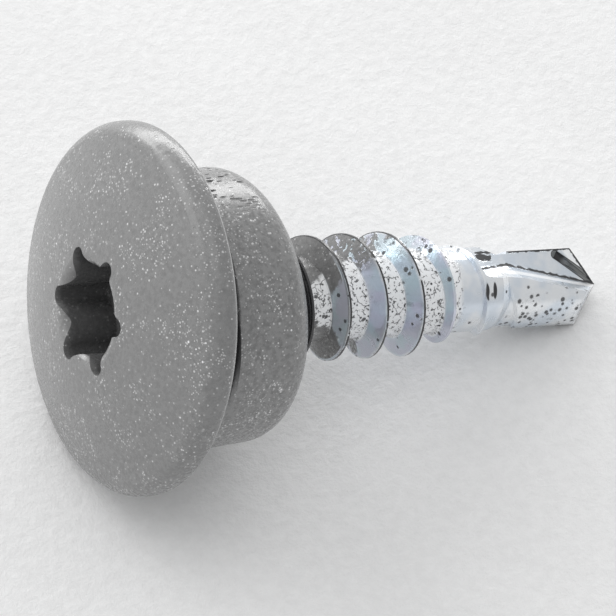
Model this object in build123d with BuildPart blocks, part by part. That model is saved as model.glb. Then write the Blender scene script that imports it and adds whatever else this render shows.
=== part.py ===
"""Self drilling screw with a lens head, a six-lobe drive and a captive sealing washer.

Millimetres. Both pieces are modelled upright on one axis: Z runs from the head to the point,
and Z = 0 is the back edge of the head's rim. The last section lays them on their side, as
the screw comes to rest on a table: on the rim of the head and both edges of its second flute.
There +X runs to the point, +Z is up, and the origin is the middle of the lying screw's base.
Angles about the axis are in degrees from the middle of the first flute.
"""

import os
from math import asin, atan2, cos, degrees, radians, sin, sqrt, tan

from build123d import *

# ---- Head ----
head_diameter = 16.0
rim_thickness = 1.1  # at the outside, before its edges are rounded
dome_rise = 1.76  # from the rim's front corner to the crown
rim_front_round = 0.9
rim_back_round = 0.33
underside_land = 0.6  # flat ring behind the rim, before the underside slopes back
seat_station = 1.25  # the washer's flat seat, behind the rim's back edge
seat_diameter = 11.2

# ---- Six-lobe drive ----
drive_lobes = 6
drive_across_points = 5.6
drive_across_flats = 3.95
drive_lobe_radius = 0.42
drive_depth = 3.1  # from the crown
drive_floor_drop = 0.4  # the cone at the bottom of the recess
drive_mouth_round = 0.5  # between the lobes, where the walls roll over into the dome
drive_mouth_overlap = 0.03  # that rounding starts this far inside the flats
drive_turn = 4.2  # the middle of the first lobe

# ---- Shank and thread ----
core_diameter = 3.7
under_head_round = 0.2
thread_diameter = 5.5
thread_pitch = 1.9
thread_flank_angle = 25.0  # each flank, from square to the axis
thread_crest_width = 0.12
thread_root_sink = 0.25  # how far the thread reaches into the core
thread_station = 8.3  # here a crest passes thread_turn
thread_turn = -44.0
# Turns from thread_station, and the share of the full height that the crest has there.
thread_heights = [(-1.3, 0.15), (-1.0, 1.0), (2.55, 1.0), (4.0, 0.12), (4.5, 0.25), (4.95, 0.02)]

# ---- Drill point ----
waist_start = 17.4
waist_station = 18.25
waist_diameter = 3.16
drill_diameter = 3.4
shoulder_station = 18.25  # each land starts at a slanted shoulder, which crosses the axis here
shoulder_slope = 23.0
shoulder_turn = 173.0  # the first land's shoulder slants towards the tip this way
shoulder_chamfer = 0.1
drill_offset = 0.12  # the drill is forged a little off the shank's axis
drill_offset_turn = 136.0
tip_station = 23.47
point_angle = 110.0
point_relief = 39.0  # degrees that each end face falls away behind its cutting lip

# ---- Flutes: a shallow scoop that opens into a wide vee towards the tip ----
flute_count = 2
flute_rake_edge = -44.0  # degrees from the flute's middle to its cutting side
flute_overreach = 1.6  # the cutter's walls reach this far past the edges
flute_open_side = 2.6
flute_start = 16.32  # its end wall meets the shank here
flute_end_lean = 24.0  # degrees that this wall leans towards the tip
flute_end_skew = 12.0  # and degrees that it is turned away from the cutting side
flute_end_round = 0.3
# The flute's sections, with straight walls between them. The foot is the deepest line: out
# along the flute's middle, and across. The heel is the edge across from the cutting side.
run_out_station = 15.5
run_out_foot = (1.2, 0.1)
run_out_heel = 18.0
scoop_station = 18.6
scoop_foot = (0.99, -0.54)
scoop_heel = 29.5
scoop_foot_round = 0.5
tip_foot = (0.05, 0.0)
tip_heel = 66.0
tip_foot_round = 0.12

# ---- Groove behind each cutting lip ----
lip_groove_outer = (21.45, 0.8)  # station, and share of the way from the flute's foot to its edge
lip_groove_inner = (23.2, 0.12)
lip_groove_radius = 0.2
lip_groove_end_radius = 0.04

# ---- Sealing washer ----
washer_diameter = 11.92
washer_seat_gap = 0.03
washer_far_station = 5.3
washer_far_round = 1.4
washer_front_round = 0.08
washer_running_clearance = 0.05  # on the radius
washer_lean = 5.3  # degrees that the moulded outside leans from the bore
washer_lean_turn = -24.0  # the way it leans
washer_offset = 0.12  # and it is moulded a little off the bore
washer_offset_turn = 136.0

# ---- Rest ----
rest_turn = 8.0  # this side of the screw faces up, so that both edges of a flute touch

# ---- Sizes that follow from those ----
head_radius = head_diameter / 2
core_radius = core_diameter / 2
thread_depth = thread_diameter / 2 - core_radius
waist_radius = waist_diameter / 2
drill_radius = drill_diameter / 2
crown_station = -rim_thickness - dome_rise
dome_radius = (head_radius**2 + dome_rise**2) / (2 * dome_rise)
corner_station = tip_station - drill_radius / tan(radians(point_angle / 2))
vee_length = tip_station - scoop_station
washer_radius = washer_diameter / 2
washer_bore_radius = core_radius + washer_running_clearance
washer_front_station = seat_station + washer_seat_gap


def around(radius, angle, station=0.0):
    """The point at an angle, in degrees, on a circle about the axis."""
    return Vector(radius * cos(radians(angle)), radius * sin(radians(angle)), station)


def lobe_recess():
    """One closed outline of lobes joined by tangent arcs, drawn in the running sketch."""
    lobe_centre = drive_across_points / 2 - drive_lobe_radius
    flat = drive_across_flats / 2
    half_step = 180 / drive_lobes
    along = lobe_centre * cos(radians(half_step))
    # The arc between two lobes touches both: its radius follows from the two lobe sizes.
    bulge_radius = (lobe_centre**2 + flat**2 - 2 * flat * along - drive_lobe_radius**2) / (
        2 * (along + drive_lobe_radius - flat)
    )
    for lobe in range(drive_lobes):
        middle = drive_turn + lobe * 2 * half_step
        centre = around(lobe_centre, middle)
        after = around(flat + bulge_radius, middle + half_step)
        before = around(flat + bulge_radius, middle - half_step)
        start = centre + (before - centre).normalized() * drive_lobe_radius
        finish = centre + (after - centre).normalized() * drive_lobe_radius
        next_centre = around(lobe_centre, middle + 2 * half_step)
        next_start = next_centre + (after - next_centre).normalized() * drive_lobe_radius
        ThreePointArc(start, around(drive_across_points / 2, middle), finish)
        ThreePointArc(finish, around(flat, middle + half_step), next_start)


def thread_path(begin, end):
    """The helix that a crest follows between two (turn, share of height) pairs."""
    turns = end[0] - begin[0]
    begin_radius = core_radius + begin[1] * thread_depth
    end_radius = core_radius + end[1] * thread_depth
    cone = degrees(atan2(end_radius - begin_radius, turns * thread_pitch))
    helix = Edge.make_helix(thread_pitch, turns * thread_pitch, begin_radius, angle=cone)
    start = Location(
        (0, 0, thread_station + begin[0] * thread_pitch),
        (0, 0, thread_turn + begin[0] * 360),
    )
    return start * helix


def thread_profile_plane(path):
    """The plane through the axis at a path's start, with x pointing away from the axis."""
    outward = Vector(path.position_at(0).X, path.position_at(0).Y, 0)
    return Plane(path.position_at(0), x_dir=outward, z_dir=Vector(0, 0, 1).cross(outward))


def flute_outline(foot, heel):
    """A flute's cross-section, drawn in the running sketch with x along the flute's middle."""
    foot = Vector(*foot)
    rake_out = foot + (around(drill_radius, flute_rake_edge) - foot) * flute_overreach
    heel_out = foot + (around(drill_radius, heel) - foot) * flute_overreach
    Polyline(
        foot,
        heel_out,
        (flute_open_side, heel_out.Y),
        (flute_open_side, rake_out.Y),
        rake_out,
        close=True,
    )


def rake_wall_point(station, share):
    """The point of a flute's rake wall, from its foot (share 0) to its edge (share 1)."""
    along = (station - scoop_station) / vee_length
    foot = Vector(*scoop_foot) * (1 - along) + Vector(*tip_foot) * along
    return foot * (1 - share) + around(drill_radius, flute_rake_edge) * share + Vector(0, 0, station)


# ---- The drill's blank, upright on its own axis: a land for each flute, around a core ----
with BuildPart() as drill_blank:
    land_start = (flute_rake_edge + scoop_heel) / 2
    with BuildSketch(Plane.XY.offset(waist_start)):
        with BuildLine():
            CenterArc((0, 0), drill_radius, land_start, 360 / flute_count)
            Polyline(
                tuple(around(drill_radius, land_start)),
                (0, 0),
                tuple(around(drill_radius, land_start + 360 / flute_count)),
            )
        make_face()
    extrude(amount=tip_station - waist_start)
    slant = around(-tan(radians(shoulder_slope)), shoulder_turn, 1)
    split(bisect_by=Plane((0, 0, shoulder_station), z_dir=slant), keep=Keep.TOP)
    start_face = drill_blank.faces().sort_by(Axis.Z)[0]
    chamfer(start_face.edges().sort_by(Edge.length)[-1], shoulder_chamfer)
    land = drill_blank.part
    for copy in range(1, flute_count):
        add(land, rotation=(0, 0, copy * 360 / flute_count))
    with Locations((0, 0, waist_start)):
        Cylinder(
            waist_radius,
            tip_station - waist_start,
            align=(Align.CENTER, Align.CENTER, Align.MIN),
        )

# ---- The shape of one flute, upright, with x along the flute's middle ----
with BuildPart() as flute_cutter:
    for station, foot, heel, foot_round in (
        (run_out_station, run_out_foot, run_out_heel, scoop_foot_round),
        (scoop_station, scoop_foot, scoop_heel, scoop_foot_round),
        (tip_station, tip_foot, tip_heel, tip_foot_round),
    ):
        with BuildSketch(Plane.XY.offset(station)) as section:
            with BuildLine():
                flute_outline(foot, heel)
            make_face()
            fillet(section.vertices().sort_by_distance(foot)[0], foot_round)
    loft(ruled=True)
    lean = tan(radians(flute_end_lean))
    skew = tan(radians(flute_end_skew))
    split(bisect_by=Plane((core_radius, 0, flute_start), z_dir=(lean, -skew, 1)), keep=Keep.TOP)
    fillet(flute_cutter.faces().sort_by(Axis.Z)[0].edges(), flute_end_round)

# ---- Screw: head, shank, thread and drill point, forged and rolled as one piece ----
axial_section = Plane(origin=(0, 0, 0), x_dir=(1, 0, 0), z_dir=(0, -1, 0))

with BuildPart() as screw:
    with BuildSketch(axial_section) as outline:
        crown = (0, crown_station)
        rim_front = (head_radius, -rim_thickness)
        rim_back = (head_radius, 0)
        shank_top = (core_radius, seat_station)
        with BuildLine():
            RadiusArc(crown, rim_front, -dome_radius)
            Polyline(
                rim_front,
                rim_back,
                (head_radius - underside_land, 0),
                (seat_diameter / 2, seat_station),
                shank_top,
                (core_radius, waist_start),
                (waist_radius - drill_offset, waist_station),
                (0, waist_station),
                crown,
            )
        make_face()
        for corner, round_radius in (
            (rim_front, rim_front_round),
            (rim_back, rim_back_round),
            (shank_top, under_head_round),
        ):
            fillet(outline.vertices().sort_by_distance(corner)[0], round_radius)
    revolve(axis=Axis.Z)

    # The thread is rolled up out of the core, run by run.
    for begin, end in zip(thread_heights, thread_heights[1:]):
        path = thread_path(begin, end)
        with BuildSketch(thread_profile_plane(path)):
            reach = thread_depth + thread_root_sink
            half_crest = thread_crest_width / 2
            half_root = half_crest + reach * tan(radians(thread_flank_angle))
            with BuildLine():
                Polyline(
                    (0, -half_crest),
                    (0, half_crest),
                    (-reach, half_root),
                    (-reach, -half_root),
                    close=True,
                )
            make_face()
        sweep(path=path, is_frenet=True)

    drill_axis = Plane(around(drill_offset, drill_offset_turn))
    with Locations(drill_axis):
        add(drill_blank.part)

    for flute in range(flute_count):
        turn = flute * 360 / flute_count
        foot_level = Plane(drill_axis.origin, x_dir=around(1, turn))
        with Locations(foot_level):
            add(flute_cutter.part, mode=Mode.SUBTRACT)

        # The end face behind this flute's cutting lip.
        half_point = radians(point_angle / 2)
        relief = radians(point_relief)
        lip_turn = turn + flute_rake_edge
        end_normal = around(cos(half_point) * cos(relief), lip_turn, sin(half_point) * cos(relief))
        end_normal -= around(sin(half_point) * sin(relief), lip_turn + 90)
        tip = drill_axis.origin + Vector(0, 0, tip_station)
        split(bisect_by=Plane(tip, z_dir=end_normal), keep=Keep.BOTTOM)

        outer_end = foot_level.from_local_coords(rake_wall_point(*lip_groove_outer))
        inner_end = foot_level.from_local_coords(rake_wall_point(*lip_groove_inner))
        with Locations(Plane(outer_end, z_dir=inner_end - outer_end)):
            Cone(
                lip_groove_radius,
                lip_groove_end_radius,
                (inner_end - outer_end).length,
                align=(Align.CENTER, Align.CENTER, Align.MIN),
                mode=Mode.SUBTRACT,
            )

    # The drive recess, with a shallow cone for its floor and a rolled-over mouth.
    floor_station = crown_station + drive_depth - drive_floor_drop
    with BuildSketch(Plane.XY.offset(floor_station)) as recess:
        with BuildLine():
            lobe_recess()
        make_face()
    extrude(recess.sketch, amount=crown_station - floor_station, mode=Mode.SUBTRACT)
    with BuildSketch(axial_section) as floor_cone:
        with BuildLine():
            Polyline(
                (0, floor_station),
                (drive_across_flats / 2, floor_station),
                (0, floor_station + drive_floor_drop),
                close=True,
            )
        make_face()
    revolve(floor_cone.sketch, axis=Axis.Z, mode=Mode.SUBTRACT)
    with BuildSketch(axial_section) as mouth:
        # The rounding's centre, and the point where it meets the dome, seen from the dome's centre.
        round_start_out = drive_across_flats / 2 - drive_mouth_overlap
        round_centre_out = round_start_out + drive_mouth_round
        round_drop = sqrt((dome_radius - drive_mouth_round) ** 2 - round_centre_out**2)
        round_reach = dome_radius / (dome_radius - drive_mouth_round)
        dome_centre_station = crown_station + dome_radius
        round_start = (round_start_out, dome_centre_station - round_drop)
        round_finish = (round_centre_out * round_reach, dome_centre_station - round_drop * round_reach)
        with BuildLine():
            RadiusArc(round_start, round_finish, -drive_mouth_round)
            Polyline(
                round_finish,
                (round_finish[0], crown_station),
                (0, crown_station),
                (0, round_start[1]),
                round_start,
            )
        make_face()
    revolve(mouth.sketch, axis=Axis.Z, mode=Mode.SUBTRACT)

# ---- Sealing washer: one thick moulded ring, its outside a little out of true ----
washer_middle = (washer_front_station + washer_far_station) / 2
half_width = (washer_far_station - washer_front_station) / 2
outside_axis = Axis(
    around(washer_offset, washer_offset_turn, washer_middle),
    around(sin(radians(washer_lean)), washer_lean_turn, cos(radians(washer_lean))),
)

with BuildPart() as sealing_washer:
    sideways = around(1, washer_lean_turn + 90)
    outside_section = Plane(
        outside_axis.position,
        x_dir=sideways.cross(outside_axis.direction),
        z_dir=-sideways,
    )
    with BuildSketch(outside_section) as ring:
        far_edge = (washer_radius, half_width)
        with BuildLine():
            Polyline(
                (0, half_width),
                far_edge,
                (washer_radius, -washer_far_station),
                (0, -washer_far_station),
                close=True,
            )
        make_face()
        fillet(ring.vertices().sort_by_distance(far_edge)[0], washer_far_round)
    revolve(axis=outside_axis)
    split(bisect_by=Plane.XY.offset(washer_front_station), keep=Keep.TOP)
    front_face = sealing_washer.faces().sort_by(Axis.Z)[0]
    fillet(front_face.edges(), washer_front_round)
    with BuildSketch(Plane.XY.offset(washer_front_station)):
        Circle(washer_bore_radius)
    extrude(amount=washer_far_station * 2, mode=Mode.SUBTRACT)

# ---- Laid down as they rest: the head's rim and both edges of the second flute touch ----
corner = around(drill_radius, flute_rake_edge + 180 - rest_turn)
corner += around(drill_offset, drill_offset_turn - rest_turn)
rim_middle = head_radius - rim_back_round
rim_to_corner = Vector(corner_station + rim_back_round, rim_middle + corner.X)
rest_slope = atan2(rim_to_corner.Y, rim_to_corner.X) + asin(rim_back_round / rim_to_corner.length)
downhill = Vector(cos(rest_slope), 0, -sin(rest_slope))
uphill = Vector(sin(rest_slope), 0, cos(rest_slope))
axis_height = rim_middle * cos(rest_slope) + rim_back_round * (1 - sin(rest_slope))
front_end = uphill * -head_radius - downhill * rim_thickness
base_middle = (front_end + downhill * tip_station).X / 2
lying = Plane(origin=(-base_middle, 0, axis_height), x_dir=uphill, z_dir=downhill)
resting = lying.location * Rotation(0, 0, -rest_turn)
screw.part.locate(resting)
sealing_washer.part.locate(resting)

os.makedirs("parts", exist_ok=True)
screw.part.label = "screw"
export_step(screw.part, "parts/screw.step")
sealing_washer.part.label = "sealing_washer"
export_step(sealing_washer.part, "parts/sealing_washer.step")
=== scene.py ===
"""The looks of a self drilling screw on a table: grey coat, bright zinc, pale paper and soft light."""

import collections
import math

import bpy
from mathutils import Matrix, Vector

MILLIMETRE = 0.001

# how the screw lies: the middle of its rim's back edge, how far its point dips and how far it is rolled
RIM_MIDDLE = (-0.00953194, 0.0, 0.00757023)
DIP = math.radians(16.958)
ROLL = math.radians(8.0)

# below, stations run along the screw from the rim's back edge to the point, in millimetres, and radii
# are measured from its axis; angles go round it in degrees: about 8 is straight up, 98 to the front, and
# -82 to the back; ridge numbers are in pitches from the crest, towards the point

# its drive and its rim: painted shade darkens the drive, and a painted highlight lightens the rim's back
# edge
DRIVE_RADIUS = 2.9
DRIVE_TOP = -2.75
DRIVE_DEEP = -2.2
DRIVE_END = 0.5
RIM_EDGE = (7.72, 7.80)
RIM_BACK = (-0.17, 0.10)

# its thread: a place on the ridge's crest, the ridge's pitch, and where its parts are
THREAD_STATION = 8.3
THREAD_ANGLE = -44.0
THREAD_PITCH = 1.9
CREST_SPAN = (6.0, 15.5)
STRIP_SPAN = (6.0, 15.3)
FLANK_SPAN = (6.0, 15.2)
CREST_RADIUS = 2.5
FLANK_RADII = (1.97, 2.68)
STRIP_RADII = (1.80, 1.93)
WINDOW_RADIUS = 1.95
# where painted shade blackens the first turn as it leaves the ring
COLLAR_START = (5.6, 6.0)
COLLAR_END = (7.2, 7.0)
COLLAR_ANGLES = (-10.0, 120.0)

# where its coat wears off; a bare window's ends move by so many degrees with each turn
WEAR_START = (6.4, 6.9)
WINDOW_STATION = 9.0
WINDOW_MIDDLE = 50.0
WINDOW_BACK = 28.0
WINDOW_FRONT = 98.0
WINDOW_BACK_MOVES = -32.0
WINDOW_FRONT_MOVES = 45.0
WINDOW_BACK_BETWEEN = -25.0
WINDOW_FRONT_BETWEEN = 10.0
WINDOW_RAGGED = 40.0
THIN_SPAN = (9.6, 13.0)
THIN_ANGLES = (-130.0, 30.0)
FADING_START = (15.6, 16.2)
BEYOND_START = (12.6, 13.0)
BEYOND_RIDGE = (0.05, 0.27)
WORN_RIDGE = (-0.055, -0.030)
WORN_ANGLES = (10.0, 175.0)

# where it is dirty, and where painted shade darkens the crest's far side and the drill point's corners
BACK_ANGLES = (-130.0, 5.0)
BACK_SHIFT = 0.02
CREST_LINE = (-0.022, 0.045)
CRINKLE_SPAN = (10.4, 15.3)
CRINKLE_ANGLES = (-110.0, 0.0)
DRILL_START = (17.6, 18.4)
DRIPS_FEWER = (15.0, 14.6)
DRIPS_MIDDLE = 100.0
DRIPS_REACH = (60.0, 15.0)
CORNERS_START = (16.3, 16.6)
NICKS = ((16.48, 0.17), (16.93, 0.11))
NICK_ANGLE = 50.0
NICK_SPREAD = 13.0

# its drill point: its middle, which way one flute lies, and the lines along its faces and edges
DRILL_MIDDLE = (-0.0863, 0.0834, 0.0)
FLUTE_SIDE = (1.0, 0.1, 0.0)
# painted shade lies along the foot, burr, lip and start lines and along the groove and both its edges; a
# painted highlight lies on the heel and along the lip
FOOT_LINE = ((1.20, 0.10, 15.5), (0.99, -0.54, 18.6), (0.05, 0.0, 23.47))
GROOVE_LINE = ((1.066, -0.989, 21.45), (0.236, -0.168, 23.2))
GROOVE_WIDTH = 0.2
GROOVE_EDGE = (0.15, 0.21)
BURR_LINE = ((1.223, -1.181, 17.2), (1.223, -1.181, 22.28))
LIP_LINE = ((1.223, -1.181, 22.28), (0.0, 0.0, 23.47))
START_LINE = ((1.2, -0.95, 17.3), (1.17, -0.9, 17.8))
HEEL_LINE = ((1.28, 0.23, 18.2), (0.26, 0.36, 23.2))

# its ring, which leans a little: its own axis, where its front and its back are along that, and its pits
RING_AXIS = (0.0844, -0.0376, 0.9957)
RING_FRONT = 1.28
RING_BACK = (3.6, 4.6)
# the angles where painted shade darkens the slit between the ring's front and the head
GAP_ANGLES = (30.0, 80.0)
PITTED_SPAN = (1.6, 3.6)
PITTED_ANGLES = (-75.0, 0.0)

# colours of the finishes
COAT_LOW = (0.160, 0.160, 0.160, 1)
COAT_HIGH = (0.235, 0.235, 0.235, 1)
COAT_PALE = (0.70, 0.70, 0.70, 1)
COAT_BRIGHT = (0.80, 0.80, 0.81, 1)
# the dark used for painted shade in the drive and in the ring's slit, and for the ring's pits
COAT_DARK = (0.025, 0.025, 0.026, 1)
ZINC_BRIGHT = (0.86, 0.88, 0.90, 1)
ZINC_BLUE = (0.70, 0.76, 0.83, 1)
# painted reflection on the flanks, in bluish and lavender patches
ZINC_FLANK_REFLECTION = (0.57, 0.67, 0.72, 1)
ZINC_LAVENDER_REFLECTION = (0.62, 0.63, 0.73, 1)
# painted highlight on the strip between the ridges, the heel and the lip's facet
ZINC_HIGHLIGHT_WHITE = (0.93, 0.94, 0.95, 1)
# painted shade in the drill point's groove
GROOVE_PAINTED_SHADE = (0.05, 0.055, 0.05, 1)
# black for dirt, and for painted shade along the crests, the first turn and the drill point's corners
BLACK_DIRT_AND_SHADE = (0.022, 0.022, 0.024, 1)

# their shine: the coat's index of refraction, the least roughness, and how much more is added
COAT_REFRACTION = 1.65
COAT_ROUGHNESS = 0.21
MOTTLE_ROUGHNESS = 0.10
ZINC_ROUGHNESS = 0.12
STREAK_ROUGHNESS = 0.16
DIRT_AND_SHADE_ROUGHNESS = 0.4
PIT_ROUGHNESS = 0.6

# how strong the marks are, as shares of full strength
# the next four are painted light: shade in the drive, a highlight on the rim's back edge, a reflection on
# the flanks, shade in the groove
DRIVE_PAINTED_SHADE = 0.52
RIM_PAINTED_HIGHLIGHT = 0.38
FLANK_STRENGTH = 0.85
GROOVE_STRENGTH = 0.85
DRIP_STRENGTH = 0.9
CRINKLE_STRENGTH = 0.55
HALF_MATT = 0.5
QUITE_MATT = 0.85
CLEAN_METAL = 0.72

# the grain of the coat: lumps, dots and heights, in millimetres
MOTTLE_SIZE = 0.22
CLUSTER_SIZE = 2.2
SPECK_SPACING = 0.12
SPECK_SIZE = 0.11
SPECK_DEPTH_SIZE = 0.3
SPECK_HEIGHT = 0.004
SPECK_STRENGTH = 0.85
BRIGHT_SPACING = 0.26
BRIGHT_SIZE = 0.12
PEEL_SIZE = 0.35
PEEL_HEIGHT = 0.012
COAT_THICKNESS = 0.02

# the grain of the zinc: lumps, dots and heights, in millimetres; streaks run round the screw
ZINC_LUMPS = 1.1
FLANK_LUMPS = 1.3
STREAK_STRETCH = (0.25, 0.25, 6.0)
STREAK_SIZE = 0.5
STREAK_HEIGHT = 0.006
GRAIN_SIZE = 0.16
GRAIN_HEIGHT = 0.008
DIRT_AND_SHADE_HEIGHT = -0.012
DRIP_SIZE = 0.27
PIN_SPACING = 0.18
PIN_SIZE = 0.13
PIN_SHARE = 0.4
TANGLE_SIZE = 0.26
TANGLE_WIDTH = 0.055
HEEL_WIDTH = 0.3
FACET_WIDTH = 0.5

# the grain of the ring: pits drawn out towards its back, and moulding lines round it, in millimetres
PIT_STRETCH = (1, 1, 0.45)
PIT_SPACING = 0.2
PIT_SIZE = 0.19
PIT_SHARE = 0.7
PIT_HEIGHT = -0.05
MOULDING_STRETCH = (0.25, 0.25, 4.0)
MOULDING_SIZE = 0.7
MOULDING_HEIGHT = 0.03

# the table, and its paper's colours
TABLE_WIDTH = 1.6
PAPER_LOW = (0.77, 0.77, 0.77, 1)
PAPER_HIGH = (0.84, 0.84, 0.84, 1)
FIBRE_SIZE = 0.0006
FIBRE_HEIGHT = 0.00006
PATCH_SIZE = 0.012

# the room's light in front of the screw and behind it, and which way behind is
ROOM_FRONT = (0.59, 0.595, 0.60, 1)
ROOM_BACK = (0.87, 0.87, 0.87, 1)
BACK_WAY = (-0.45, 0.89, 0.0)

# the camera: what it looks at, from how far, its three angles, and its picture in pixels
CAMERA_AIM = (-0.00209, -0.00110, 0.00615)
CAMERA_AWAY = 0.25801
CAMERA_AROUND = math.radians(-31.2948)
CAMERA_ABOVE = math.radians(52.4703)
CAMERA_TILT = math.radians(11.5084)
SENSOR_WIDTH = 36
PICTURE_WIDTH = 616
FOCAL_LENGTH = 6000

Spot = collections.namedtuple("Spot", "place station radius angle ridge")


# ---- small helps for building node trees ----


def add(tree, kind, inputs=None, **settings):
    """Puts one node in the tree, with its settings and with what its sockets are given."""
    node = tree.nodes.new(kind)
    for name, value in settings.items():
        setattr(node, name, value)
    for name, value in (inputs or {}).items():
        give(tree, node.inputs[name], value)
    return node


def give(tree, socket, value):
    """Links a socket to another one, or sets it to a plain value."""
    if isinstance(value, bpy.types.NodeSocket):
        tree.links.new(value, socket)
    else:
        socket.default_value = value


def work_out(tree, operation, *values):
    """One step of arithmetic."""
    node = add(tree, "ShaderNodeMath", operation=operation)
    for socket, value in zip(node.inputs, values):
        give(tree, socket, value)
    return node.outputs[0]


def both(tree, *shares):
    """Where all of the shares hold: they are multiplied."""
    result = shares[0]
    for share in shares[1:]:
        result = work_out(tree, "MULTIPLY", result, share)
    return result


def either(tree, *shares):
    """Where any of the shares holds: the largest of them."""
    result = shares[0]
    for share in shares[1:]:
        result = work_out(tree, "MAXIMUM", result, share)
    return result


def rest_of(tree, share):
    """What is left of 1 without the share."""
    return work_out(tree, "SUBTRACT", 1.0, share)


def times_plus(tree, value, factor, more):
    """The value times a factor, plus something more."""
    return work_out(tree, "MULTIPLY_ADD", value, factor, more)


def less_than(tree, value, limit):
    """1 where the value is less than the limit, and 0 elsewhere."""
    return work_out(tree, "LESS_THAN", value, limit)


def steps_from(tree, value, middle, step):
    """How many steps the value is past the middle."""
    return work_out(tree, "DIVIDE", work_out(tree, "SUBTRACT", value, middle), step)


def ease(tree, value, low, high, start=0.0, finish=1.0, kind="SMOOTHSTEP"):
    """Goes softly from start to finish while the value goes from low to high."""
    node = add(tree, "ShaderNodeMapRange", interpolation_type=kind)
    for socket, given in zip(node.inputs, (value, low, high, start, finish)):
        give(tree, socket, given)
    return node.outputs[0]


def band(tree, value, span, soft):
    """1 while the value is inside the span, with soft ends."""
    low, high = span
    rise = ease(tree, value, low - soft, low + soft)
    fall = ease(tree, value, high + soft, high - soft)
    return both(tree, rise, fall)


def tint(tree, share, first, second):
    """Goes from the first colour to the second by a share."""
    node = add(tree, "ShaderNodeMix", data_type="RGBA")
    give(tree, node.inputs[0], share)
    give(tree, node.inputs[6], first)
    give(tree, node.inputs[7], second)
    return node.outputs[2]


def reckon(tree, operation, first, second):
    """One step of arithmetic on two places."""
    return add(tree, "ShaderNodeVectorMath", {0: first, 1: second}, operation=operation).outputs[0]


def measure(tree, first, second):
    """How far one direction goes along another."""
    node = add(tree, "ShaderNodeVectorMath", {0: first, 1: second}, operation="DOT_PRODUCT")
    return node.outputs["Value"]


def length_of(tree, place):
    """How far a place is from the middle."""
    return add(tree, "ShaderNodeVectorMath", {0: place}, operation="LENGTH").outputs["Value"]


def cloud(tree, place, size, detail=2.0, roughness=0.5):
    """Soft noise from 0 to 1 whose lumps are about size across."""
    inputs = {"Vector": place, "Scale": 1 / size, "Detail": detail, "Roughness": roughness}
    return add(tree, "ShaderNodeTexNoise", inputs).outputs["Fac"]


def start_group(name, inputs, outputs):
    """A new node group with named sockets, and its two end nodes."""
    tree = bpy.data.node_groups.new(name, "ShaderNodeTree")
    kinds = {"value": "NodeSocketFloat", "vector": "NodeSocketVector", "colour": "NodeSocketColor"}
    for label, kind in inputs.items():
        tree.interface.new_socket(label, in_out="INPUT", socket_type=kinds[kind])
    for label, kind in outputs.items():
        tree.interface.new_socket(label, in_out="OUTPUT", socket_type=kinds[kind])
    ins = tree.nodes.new("NodeGroupInput")
    outs = tree.nodes.new("NodeGroupOutput")
    return tree, ins.outputs, outs.inputs


def use(tree, group, **inputs):
    """Puts a group in a tree, gives its sockets their values and returns its outputs."""
    node = add(tree, "ShaderNodeGroup", node_tree=group)
    for name, value in inputs.items():
        give(tree, node.inputs[name.capitalize()], value)
    return node.outputs


def drawn(tree, groups, place, ends, width):
    """1 near the straight line between two ends, by a width to each side."""
    return use(tree, groups["line"], place=place, start=ends[0], finish=ends[1], width=width)["Line"]


# ---- effects that more than one finish uses ----


def screw_place():
    """Where a point is on the screw, in millimetres and degrees, with the screw stood upright."""
    tree, _, outs = start_group(
        "screw_place",
        {},
        {"Place": "vector", "Station": "value", "Radius": "value", "Angle": "value", "Ridge": "value"},
    )
    lie = Matrix.Rotation(math.pi / 2 + DIP, 3, "Y") @ Matrix.Rotation(math.pi - ROLL, 3, "Z")
    settings = {
        "Vector": add(tree, "ShaderNodeTexCoord").outputs["Object"],
        "Location": RIM_MIDDLE,
        "Rotation": lie.to_euler(),
        "Scale": (MILLIMETRE, MILLIMETRE, MILLIMETRE),
    }
    place = add(tree, "ShaderNodeMapping", settings, vector_type="TEXTURE").outputs[0]
    x, y, station = add(tree, "ShaderNodeSeparateXYZ", {"Vector": place}).outputs
    angle = work_out(tree, "DEGREES", work_out(tree, "ARCTAN2", y, x))
    turns_along = steps_from(tree, station, THREAD_STATION, THREAD_PITCH)
    turns_round = steps_from(tree, angle, THREAD_ANGLE, 360.0)
    turns_off = work_out(tree, "SUBTRACT", turns_along, turns_round)
    give(tree, outs["Place"], place)
    give(tree, outs["Station"], station)
    give(tree, outs["Radius"], length_of(tree, reckon(tree, "MULTIPLY", place, (1, 1, 0))))
    give(tree, outs["Angle"], angle)
    give(tree, outs["Ridge"], work_out(tree, "WRAP", turns_off, 0.5, -0.5))
    return tree


def scattered_dots():
    """Round dots with one here and there: Spacing apart, Size across, and a Share of the places taken."""
    tree, ins, outs = start_group(
        "scattered_dots",
        {"Place": "vector", "Spacing": "value", "Size": "value", "Share": "value"},
        {"Dots": "value"},
    )
    scale = work_out(tree, "DIVIDE", 1.0, ins["Spacing"])
    cells = add(tree, "ShaderNodeTexVoronoi", {"Vector": ins["Place"], "Scale": scale}, feature="F1")
    away = both(tree, cells.outputs["Distance"], ins["Spacing"])
    luck, bigness, _ = add(tree, "ShaderNodeSeparateColor", {"Color": cells.outputs["Color"]}).outputs
    radius = both(tree, ins["Size"], times_plus(tree, bigness, 0.35, 0.25))
    inside = ease(tree, away, radius, both(tree, radius, 0.55))
    give(tree, outs["Dots"], both(tree, inside, less_than(tree, luck, ins["Share"])))
    return tree


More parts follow.
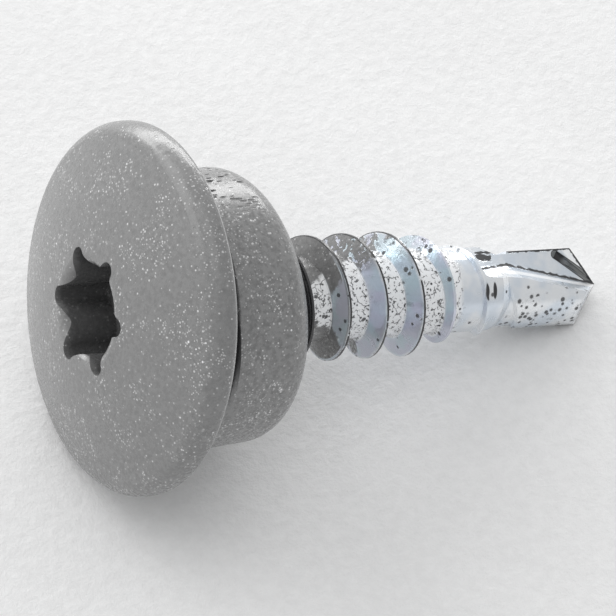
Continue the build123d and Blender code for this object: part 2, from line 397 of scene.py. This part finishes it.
def squiggles():
    """Short thin wandering lines, Size apart and Width wide as a share of that."""
    tree, ins, outs = start_group(
        "squiggles", {"Place": "vector", "Size": "value", "Width": "value"}, {"Lines": "value"}
    )
    scale = work_out(tree, "DIVIDE", 1.0, ins["Size"])
    inputs = {"Vector": ins["Place"], "Scale": scale, "Detail": 1.5}
    lumps = add(tree, "ShaderNodeTexNoise", inputs).outputs["Fac"]
    off = work_out(tree, "ABSOLUTE", work_out(tree, "SUBTRACT", lumps, 0.5))
    line = ease(tree, off, ins["Width"], 0.0)
    inputs = {"Vector": ins["Place"], "Scale": both(tree, scale, 1.3)}
    breaks = add(tree, "ShaderNodeTexNoise", inputs).outputs["Fac"]
    give(tree, outs["Lines"], both(tree, line, ease(tree, breaks, 0.46, 0.52)))
    return tree


def drawn_line():
    """A straight line from Start to Finish, Width to each side."""
    tree, ins, outs = start_group(
        "drawn_line",
        {"Place": "vector", "Start": "vector", "Finish": "vector", "Width": "value"},
        {"Line": "value", "Away": "value"},
    )
    here = reckon(tree, "SUBTRACT", ins["Place"], ins["Start"])
    run = reckon(tree, "SUBTRACT", ins["Finish"], ins["Start"])
    share = work_out(tree, "DIVIDE", measure(tree, here, run), measure(tree, run, run))
    share = ease(tree, share, 0.0, 1.0, kind="LINEAR")
    nearest = add(tree, "ShaderNodeVectorMath", {0: run, "Scale": share}, operation="SCALE").outputs[0]
    away = length_of(tree, reckon(tree, "SUBTRACT", here, nearest))
    give(tree, outs["Line"], ease(tree, away, ins["Width"], both(tree, ins["Width"], 0.6)))
    give(tree, outs["Away"], away)
    return tree


def drill_place():
    """The place seen from the drill point's own middle, with the second flute laid over the first."""
    tree, ins, outs = start_group("drill_place", {"Place": "vector"}, {"Place": "vector"})
    here = reckon(tree, "SUBTRACT", ins["Place"], DRILL_MIDDLE)
    side = work_out(tree, "SIGN", measure(tree, here, FLUTE_SIDE))
    turn = add(tree, "ShaderNodeCombineXYZ", {"X": side, "Y": side, "Z": 1.0}).outputs[0]
    give(tree, outs["Place"], reckon(tree, "MULTIPLY", here, turn))
    return tree


def satin_coat(dots):
    """Satin grey powder coat: fine mottle, pale specks in clusters, a few bright ones, orange peel."""
    tree, ins, outs = start_group(
        "satin_coat",
        {"Place": "vector", "Specks": "value", "Mottle": "value"},
        {"Color": "colour", "Roughness": "value", "Height": "value"},
    )
    place = ins["Place"]
    clusters = ease(tree, cloud(tree, place, CLUSTER_SIZE, detail=3.0), 0.44, 0.62)
    often = both(tree, times_plus(tree, clusters, 0.54, 0.11), ins["Specks"])
    fine = use(tree, dots, place=place, spacing=SPECK_SPACING, size=SPECK_SIZE, share=often)[0]
    depth = ease(tree, cloud(tree, place, SPECK_DEPTH_SIZE, detail=1.0), 0.34, 0.66, 0.3, 1.0)
    fine = both(tree, fine, depth)
    seldom = both(tree, times_plus(tree, clusters, 0.08, 0.006), ins["Specks"])
    bright = use(tree, dots, place=place, spacing=BRIGHT_SPACING, size=BRIGHT_SIZE, share=seldom)[0]

    mottle = cloud(tree, place, MOTTLE_SIZE, detail=3.0, roughness=0.6)
    shade = work_out(tree, "POWER", ease(tree, mottle, 0.2, 0.8), 0.7)
    uneven = both(tree, work_out(tree, "SUBTRACT", shade, 0.5), ins["Mottle"])
    colour = tint(tree, work_out(tree, "ADD", uneven, 0.46), COAT_LOW, COAT_HIGH)
    colour = tint(tree, both(tree, fine, SPECK_STRENGTH), colour, COAT_PALE)
    give(tree, outs["Color"], tint(tree, bright, colour, COAT_BRIGHT))
    give(tree, outs["Roughness"], times_plus(tree, shade, MOTTLE_ROUGHNESS, COAT_ROUGHNESS))
    peel = cloud(tree, place, PEEL_SIZE, detail=1.0)
    give(tree, outs["Height"], times_plus(tree, peel, PEEL_HEIGHT, both(tree, fine, SPECK_HEIGHT)))
    return tree


# ---- starts of the finishes ----


def start_material(name):
    """A new material with only its shader and its end node."""
    material = bpy.data.materials.new(name)
    material.use_nodes = True
    return material, material.node_tree, material.node_tree.nodes["Principled BSDF"]


def bump(tree, shader, height, distance=MILLIMETRE):
    """Presses a height into the surface: what is 1 stands up by the distance."""
    node = add(tree, "ShaderNodeBump", {"Height": height, "Distance": distance})
    give(tree, shader.inputs["Normal"], node.outputs["Normal"])


# ---- the screw's finish ----


def coated_zinc(groups):
    """The screw: grey coat on the head that thins out along the thread to bright zinc at the point."""
    material, tree, shader = start_material("coated_zinc")
    spot = Spot(*use(tree, groups["place"]))
    on_point = use(tree, groups["drill"], place=spot.place)[0]
    painted = use(tree, groups["coat"], place=spot.place, specks=1.1, mottle=0.9)
    bare = either(tree, bare_share(tree, spot), worn_crest(tree, spot))
    cover = rest_of(tree, bare)
    streaks = cloud(tree, reckon(tree, "MULTIPLY", spot.place, STREAK_STRETCH), STREAK_SIZE)
    areas = zinc_areas(tree, groups, spot, on_point)
    dirt_and_shade = dirt_and_shade_share(tree, groups, spot, on_point)
    painted_crease_shade = crest_and_collar_shade(tree, spot)

    # dark drips, pinholes, crinkles and nicks, and painted shade in the drill point's corners, darken the
    # zinc
    zinc = tint(tree, dirt_and_shade, zinc_colour(tree, groups, spot, on_point, areas), BLACK_DIRT_AND_SHADE)
    surface = tint(tree, cover, zinc, coat_colour(tree, spot, painted))
    # painted shade in black along the crests and on the first turn by the ring
    give(tree, shader.inputs["Base Color"], tint(tree, painted_crease_shade, surface, BLACK_DIRT_AND_SHADE))
    give(tree, shader.inputs["Metallic"], both(tree, bare, metal_share(tree, spot, areas, dirt_and_shade, painted_crease_shade)))
    polish = times_plus(tree, streaks, STREAK_ROUGHNESS, ZINC_ROUGHNESS)
    polish = times_plus(tree, dirt_and_shade, DIRT_AND_SHADE_ROUGHNESS, polish)
    rough = add(tree, "ShaderNodeMix", {0: cover, 2: polish, 3: painted["Roughness"]}).outputs[0]
    give(tree, shader.inputs["Roughness"], rough)
    shader.inputs["IOR"].default_value = COAT_REFRACTION

    high = both(tree, painted["Height"], cover)
    high = times_plus(tree, cover, COAT_THICKNESS, high)
    high = times_plus(tree, streaks, STREAK_HEIGHT, high)
    high = times_plus(tree, dirt_and_shade, DIRT_AND_SHADE_HEIGHT, high)
    grain = both(tree, cloud(tree, spot.place, GRAIN_SIZE), bare)
    bump(tree, shader, times_plus(tree, grain, GRAIN_HEIGHT, high))
    return material


def coat_colour(tree, spot, painted):
    """The coat's grey, with painted shade down in the drive and a painted highlight along the rim's back
    edge.
    """
    # painted shade: the coat darkens down in the drive
    deep = ease(tree, spot.station, DRIVE_TOP, DRIVE_DEEP)
    in_drive = both(tree, less_than(tree, spot.radius, DRIVE_RADIUS), deep)
    in_drive = both(tree, in_drive, less_than(tree, spot.station, DRIVE_END))
    grey = tint(tree, both(tree, in_drive, DRIVE_PAINTED_SHADE), painted["Color"], COAT_DARK)
    # painted highlight: the coat is paler along the rim's back edge
    rim = both(tree, ease(tree, spot.radius, *RIM_EDGE), band(tree, spot.station, RIM_BACK, soft=0.05))
    return tint(tree, both(tree, rim, RIM_PAINTED_HIGHLIGHT), grey, COAT_PALE)


def zinc_areas(tree, groups, spot, on_point):
    """Where the zinc looks different: the ridge's flanks, with painted reflection, and the strip between
    them and two faces of the point, with a painted highlight.
    """
    threaded = band(tree, spot.station, FLANK_SPAN, soft=0.2)
    return {
        "flank": both(tree, band(tree, spot.radius, FLANK_RADII, soft=0.04), threaded),
        "strip": both(tree, less_than(tree, spot.radius, STRIP_RADII[1]), threaded),
        "heel": drawn(tree, groups, on_point, HEEL_LINE, HEEL_WIDTH),
        "facet": drawn(tree, groups, on_point, LIP_LINE, FACET_WIDTH),
    }


def zinc_colour(tree, groups, spot, on_point, areas):
    """Bright bluish zinc with painted light: a duller painted reflection on the flanks, a painted white
    highlight between them and on the point, and painted shade in the groove.
    """
    mottle = ease(tree, cloud(tree, spot.place, ZINC_LUMPS), 0.35, 0.65)
    patches = ease(tree, cloud(tree, spot.place, FLANK_LUMPS, detail=3.0), 0.42, 0.58)
    colour = tint(tree, mottle, ZINC_BRIGHT, ZINC_BLUE)
    # painted reflection: the flanks take a duller bluish colour
    flank = tint(tree, patches, ZINC_FLANK_REFLECTION, ZINC_LAVENDER_REFLECTION)
    colour = tint(tree, both(tree, areas["flank"], FLANK_STRENGTH), colour, flank)
    # painted highlight: the strip, the heel and the facet turn white
    for name in ("strip", "heel", "facet"):
        colour = tint(tree, areas[name], colour, ZINC_HIGHLIGHT_WHITE)
    # painted shade in the groove
    groove = drawn(tree, groups, on_point, GROOVE_LINE, GROOVE_WIDTH)
    return tint(tree, both(tree, groove, GROOVE_STRENGTH), colour, GROOVE_PAINTED_SHADE)


def metal_share(tree, spot, areas, dirt_and_shade, painted_crease_shade):
    """How metallic the zinc is: less where it is matt or dark."""
    first_flank = both(tree, areas["flank"], ease(tree, spot.station, 10.0, 9.2))
    half_matt = both(tree, either(tree, areas["heel"], first_flank), HALF_MATT)
    quite_matt = both(tree, either(tree, areas["strip"], areas["facet"]), QUITE_MATT)
    dull = work_out(tree, "ADD", dirt_and_shade, either(tree, half_matt, quite_matt))
    return both(tree, ease(tree, dull, 1.0, 0.0, 0.0, CLEAN_METAL), rest_of(tree, painted_crease_shade))


def bare_share(tree, spot):
    """Where the coat is off: a window on each turn, beyond the crests, and all from the last turns on."""
    fading = times_plus(tree, cloud(tree, spot.place, 0.45, detail=3.0), 8.0, spot.station)
    faded = ease(tree, fading, *FADING_START)
    beyond = band(tree, spot.ridge, BEYOND_RIDGE, soft=0.01)
    beyond = both(tree, beyond, ease(tree, fading, *BEYOND_START))
    thin = band(tree, spot.station, THIN_SPAN, soft=0.3)
    thin = both(tree, thin, band(tree, spot.angle, THIN_ANGLES, soft=20.0))
    flecks = ease(tree, cloud(tree, spot.place, 0.24, detail=3.0), 0.55, 0.61)
    flecks = both(tree, flecks, thin)
    bare = either(tree, bare_window(tree, spot), faded, beyond, flecks)
    return both(tree, bare, ease(tree, spot.station, *WEAR_START))


def bare_window(tree, spot):
    """A bare window on each turn's upper front, longer between the ridges, that grows with each turn."""
    turns = steps_from(tree, spot.station, WINDOW_STATION, THREAD_PITCH)
    between = less_than(tree, spot.radius, WINDOW_RADIUS)
    back_end = times_plus(tree, between, WINDOW_BACK_BETWEEN, WINDOW_BACK)
    back_end = times_plus(tree, turns, WINDOW_BACK_MOVES, back_end)
    front_end = times_plus(tree, between, WINDOW_FRONT_BETWEEN, WINDOW_FRONT)
    front_end = times_plus(tree, turns, WINDOW_FRONT_MOVES, front_end)
    ragged = work_out(tree, "SUBTRACT", cloud(tree, spot.place, 0.7, detail=3.0), 0.5)
    round_it = work_out(tree, "WRAP", spot.angle, WINDOW_MIDDLE + 180.0, WINDOW_MIDDLE - 180.0)
    round_it = times_plus(tree, ragged, WINDOW_RAGGED, round_it)
    past_back = ease(tree, work_out(tree, "SUBTRACT", round_it, back_end), -3.0, 3.0)
    before_front = ease(tree, work_out(tree, "SUBTRACT", front_end, round_it), -3.0, 3.0)
    return both(tree, past_back, before_front)


def worn_crest(tree, spot):
    """A worn line on the head's side of the crest, round its front."""
    on_crest = work_out(tree, "GREATER_THAN", spot.radius, CREST_RADIUS)
    worn = both(tree, band(tree, spot.ridge, WORN_RIDGE, soft=0.006), on_crest)
    worn = both(tree, worn, band(tree, spot.angle, WORN_ANGLES, soft=14.0))
    return both(tree, worn, band(tree, spot.station, CREST_SPAN, soft=0.2))


def crest_and_collar_shade(tree, spot):
    """Painted shade in black: a broken line along the crest, and the first turn where it leaves the ring."""
    behind = band(tree, spot.angle, BACK_ANGLES, soft=14.0)
    line = band(tree, times_plus(tree, behind, BACK_SHIFT, spot.ridge), CREST_LINE, soft=0.005)
    on_crest = work_out(tree, "GREATER_THAN", spot.radius, CREST_RADIUS)
    unbroken = ease(tree, cloud(tree, spot.place, 0.4, detail=3.0), 0.28, 0.38)
    line = both(tree, line, on_crest, unbroken, band(tree, spot.station, CREST_SPAN, soft=0.2))
    climb = times_plus(tree, spot.angle, -THREAD_PITCH / 360, spot.station)
    collar = both(tree, ease(tree, climb, *COLLAR_END), ease(tree, spot.station, *COLLAR_START))
    return either(tree, line, both(tree, collar, band(tree, spot.angle, COLLAR_ANGLES, soft=25.0)))


def dirt_and_shade_share(tree, groups, spot, on_point):
    """Where the zinc is dark: drips of coat, pinholes, painted shade in the drill point's corners, crinkles
    and nicks.
    """
    return either(
        tree,
        drips(tree, groups, spot),
        pinholes(tree, groups, spot),
        corner_shade(tree, groups, spot, on_point),
        crinkles(tree, spot),
        *(nick(tree, spot, middle, length) for middle, length in NICKS),
    )


def drips(tree, groups, spot):
    """Dark drips of coat: some on the thread, few on the neck, many on the front of the drill point."""
    on_drill = ease(tree, spot.station, *DRILL_START)
    off = work_out(tree, "ABSOLUTE", work_out(tree, "SUBTRACT", spot.angle, DRIPS_MIDDLE))
    front = ease(tree, off, *DRIPS_REACH)
    often = times_plus(tree, both(tree, on_drill, front), 0.5, 0.12)
    often = both(tree, often, ease(tree, spot.station, *DRIPS_FEWER, 0.25, 1.0))
    often = either(tree, often, both(tree, on_drill, times_plus(tree, front, 0.75, 0.06)))
    drip = {"spacing": DRIP_SIZE, "size": DRIP_SIZE, "share": often}
    return both(tree, use(tree, groups["dots"], place=spot.place, **drip)[0], DRIP_STRENGTH)


def pinholes(tree, groups, spot):
    """Pinholes and short thin lines in the strip between the ridges."""
    tangle = use(tree, groups["lines"], place=spot.place, size=TANGLE_SIZE, width=TANGLE_WIDTH)[0]
    pin = {"spacing": PIN_SPACING, "size": PIN_SIZE, "share": PIN_SHARE}
    pins = use(tree, groups["dots"], place=spot.place, **pin)[0]
    strip = band(tree, spot.radius, STRIP_RADII, soft=0.02)
    strip = both(tree, strip, band(tree, spot.station, STRIP_SPAN, soft=0.2))
    return both(tree, strip, either(tree, tangle, pins))


def corner_shade(tree, groups, spot, on_point):
    """Painted shade: ragged dark lines along the drill point's corners and edges, and on both sides of its
    groove.
    """
    uneven = cloud(tree, spot.place, 0.25, detail=3.0)
    ragged = times_plus(tree, uneven, 0.34, -0.06)
    thinner = times_plus(tree, uneven, 0.34, -0.08)
    wider = times_plus(tree, uneven, 0.7, -0.14)
    lines = (
        (FOOT_LINE[:2], ragged),
        (FOOT_LINE[1:], ragged),
        (BURR_LINE, thinner),
        (LIP_LINE, thinner),
        (START_LINE, wider),
    )
    start, finish = GROOVE_LINE
    groove = use(tree, groups["line"], place=on_point, start=start, finish=finish, width=GROOVE_WIDTH)
    corners = band(tree, groove["Away"], GROOVE_EDGE, soft=0.02)
    for ends, width in lines:
        corners = either(tree, corners, drawn(tree, groups, on_point, ends, width))
    return both(tree, corners, ease(tree, spot.station, *CORNERS_START))


def crinkles(tree, spot):
    """Dark crinkles on the back of the last turns."""
    crinkled = band(tree, spot.angle, CRINKLE_ANGLES, soft=14.0)
    crinkled = both(tree, crinkled, band(tree, spot.station, CRINKLE_SPAN, soft=0.3))
    lumps = cloud(tree, spot.place, 0.3, detail=4.0, roughness=0.65)
    return both(tree, crinkled, ease(tree, lumps, 0.52, 0.62), CRINKLE_STRENGTH)


def nick(tree, spot, middle, length):
    """A short lens-shaped dark nick across the neck."""
    along = steps_from(tree, spot.station, middle, length)
    across = steps_from(tree, spot.angle, NICK_ANGLE, NICK_SPREAD)
    off = work_out(tree, "ADD", both(tree, along, along), both(tree, across, across))
    return ease(tree, off, 1.0, 0.6)


# ---- the ring's finish ----


def coated_rubber(groups):
    """The ring: moulded rubber under the same coat, with pits, and painted shade in the slit beside the
    head.
    """
    material, tree, shader = start_material("coated_rubber")
    spot = Spot(*use(tree, groups["place"]))
    along = measure(tree, spot.place, RING_AXIS)
    painted = use(tree, groups["coat"], place=spot.place, specks=2.4, mottle=2.0)
    pits = ring_pits(tree, groups, spot)
    # the pits, and painted shade in the slit by the head, darken the coat
    dark = either(tree, pits, ring_gap_shade(tree, spot, along))
    give(tree, shader.inputs["Base Color"], tint(tree, dark, painted["Color"], COAT_DARK))
    give(tree, shader.inputs["Roughness"], times_plus(tree, dark, PIT_ROUGHNESS, painted["Roughness"]))
    shader.inputs["IOR"].default_value = COAT_REFRACTION
    moulding = cloud(tree, reckon(tree, "MULTIPLY", spot.place, MOULDING_STRETCH), MOULDING_SIZE)
    moulding = both(tree, moulding, ease(tree, along, *RING_BACK))
    high = times_plus(tree, moulding, MOULDING_HEIGHT, painted["Height"])
    bump(tree, shader, times_plus(tree, pits, PIT_HEIGHT, high))
    return material


def ring_pits(tree, groups, spot):
    """Small pits, drawn out from the ring's front to its back."""
    drawn_out = reckon(tree, "MULTIPLY", spot.place, PIT_STRETCH)
    pit = {"spacing": PIT_SPACING, "size": PIT_SIZE, "share": PIT_SHARE}
    pits = use(tree, groups["dots"], place=drawn_out, **pit)[0]
    pitted = band(tree, spot.angle, PITTED_ANGLES, soft=12.0)
    pitted = both(tree, pitted, band(tree, spot.station, PITTED_SPAN, soft=0.3))
    return both(tree, pits, pitted)


def ring_gap_shade(tree, spot, along):
    """Painted shade: the dark slit between the ring's front and the head."""
    front = ease(tree, along, RING_FRONT + 0.13, RING_FRONT + 0.08)
    return both(tree, front, band(tree, spot.angle, GAP_ANGLES, soft=12.0))


# ---- the table's finish, and which piece gets which ----


def paper():
    """The table's pale paper: faint fibres and soft unevenness."""
    material, tree, shader = start_material("paper")
    where = add(tree, "ShaderNodeTexCoord").outputs["Object"]
    fibres = cloud(tree, where, FIBRE_SIZE, detail=4.0, roughness=0.7)
    patches = cloud(tree, where, PATCH_SIZE)
    shade = work_out(tree, "ADD", both(tree, fibres, 0.6), both(tree, patches, 0.4))
    shade = ease(tree, shade, 0.3, 0.7)
    give(tree, shader.inputs["Base Color"], tint(tree, shade, PAPER_LOW, PAPER_HIGH))
    shader.inputs["Roughness"].default_value = 0.95
    shader.inputs["Specular IOR Level"].default_value = 0.2
    bump(tree, shader, fibres, FIBRE_HEIGHT)
    return material


def finish_nodes(nodes):
    """Gives the screw and the ring their materials."""
    dots = scattered_dots()
    groups = {
        "place": screw_place(),
        "drill": drill_place(),
        "dots": dots,
        "lines": squiggles(),
        "line": drawn_line(),
        "coat": satin_coat(dots),
    }
    finishes = {"screw": coated_zinc(groups), "sealing_washer": coated_rubber(groups)}
    for name, node in nodes.items():
        for slot in node.material_slots:
            slot.material = finishes[name]


# ---- table, light and camera ----


def lay_table():
    """A wide flat table under the screw."""
    bpy.ops.object.select_all(action="DESELECT")
    bpy.ops.mesh.primitive_plane_add(size=TABLE_WIDTH)
    table = bpy.context.active_object
    table.name = "table"
    table.data.materials.append(paper())


def light_room():
    """Pale light all round, brighter from behind, and three large soft lamps."""
    world = bpy.data.worlds.new("room")
    bpy.context.scene.world = world
    world.use_nodes = True
    tree = world.node_tree
    towards = add(tree, "ShaderNodeTexCoord").outputs["Generated"]
    behind = ease(tree, measure(tree, towards, BACK_WAY), -1.0, 1.0)
    give(tree, tree.nodes["Background"].inputs["Color"], tint(tree, behind, ROOM_FRONT, ROOM_BACK))
    lamp("back_lamp", place=(0.09, 0.44, 0.09), width=0.74, height=0.15, watts=1.85)
    lamp("top_lamp", place=(-0.02, 0.00, 0.50), width=0.4, height=0.4, watts=0.32)
    lamp("left_lamp", place=(-0.27, 0.24, 0.23), width=0.4, height=0.3, watts=0.48)


def lamp(name, place, width, height, watts):
    """A flat soft lamp that faces the screw."""
    data = bpy.data.lights.new(name, "AREA")
    data.shape = "RECTANGLE"
    data.energy = watts
    data.size = width
    data.size_y = height
    light = bpy.data.objects.new(name, data)
    bpy.context.scene.collection.objects.link(light)
    stand = Vector(place)
    facing = (-stand).to_track_quat("-Z", "Y").to_matrix().to_4x4()
    light.matrix_world = Matrix.Translation(stand) @ facing


def set_camera():
    """Looks down on the screw from its head's side, with a long lens."""
    around = Matrix.Rotation(CAMERA_AROUND, 4, "Z")
    down = Matrix.Rotation(math.pi / 2 - CAMERA_ABOVE, 4, "X")
    turn = around @ down @ Matrix.Rotation(CAMERA_TILT, 4, "Z")
    stand = Vector(CAMERA_AIM) + turn.to_3x3() @ Vector((0, 0, CAMERA_AWAY))
    data = bpy.data.cameras.new("camera")
    data.sensor_width = SENSOR_WIDTH
    data.lens = SENSOR_WIDTH * FOCAL_LENGTH / PICTURE_WIDTH
    data.shift_y = -1 / PICTURE_WIDTH
    data.clip_start = 0.01
    camera = bpy.data.objects.new("camera", data)
    bpy.context.scene.collection.objects.link(camera)
    camera.matrix_world = Matrix.Translation(stand) @ turn
    bpy.context.scene.camera = camera


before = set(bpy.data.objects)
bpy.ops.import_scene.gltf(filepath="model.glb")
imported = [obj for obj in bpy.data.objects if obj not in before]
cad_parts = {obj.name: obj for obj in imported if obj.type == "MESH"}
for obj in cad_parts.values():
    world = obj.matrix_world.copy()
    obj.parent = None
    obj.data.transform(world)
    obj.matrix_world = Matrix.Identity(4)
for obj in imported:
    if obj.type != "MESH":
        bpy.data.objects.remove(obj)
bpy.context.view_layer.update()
finish_nodes(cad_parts)
lay_table()
light_room()
set_camera()
bpy.context.scene.view_settings.view_transform = "Standard"
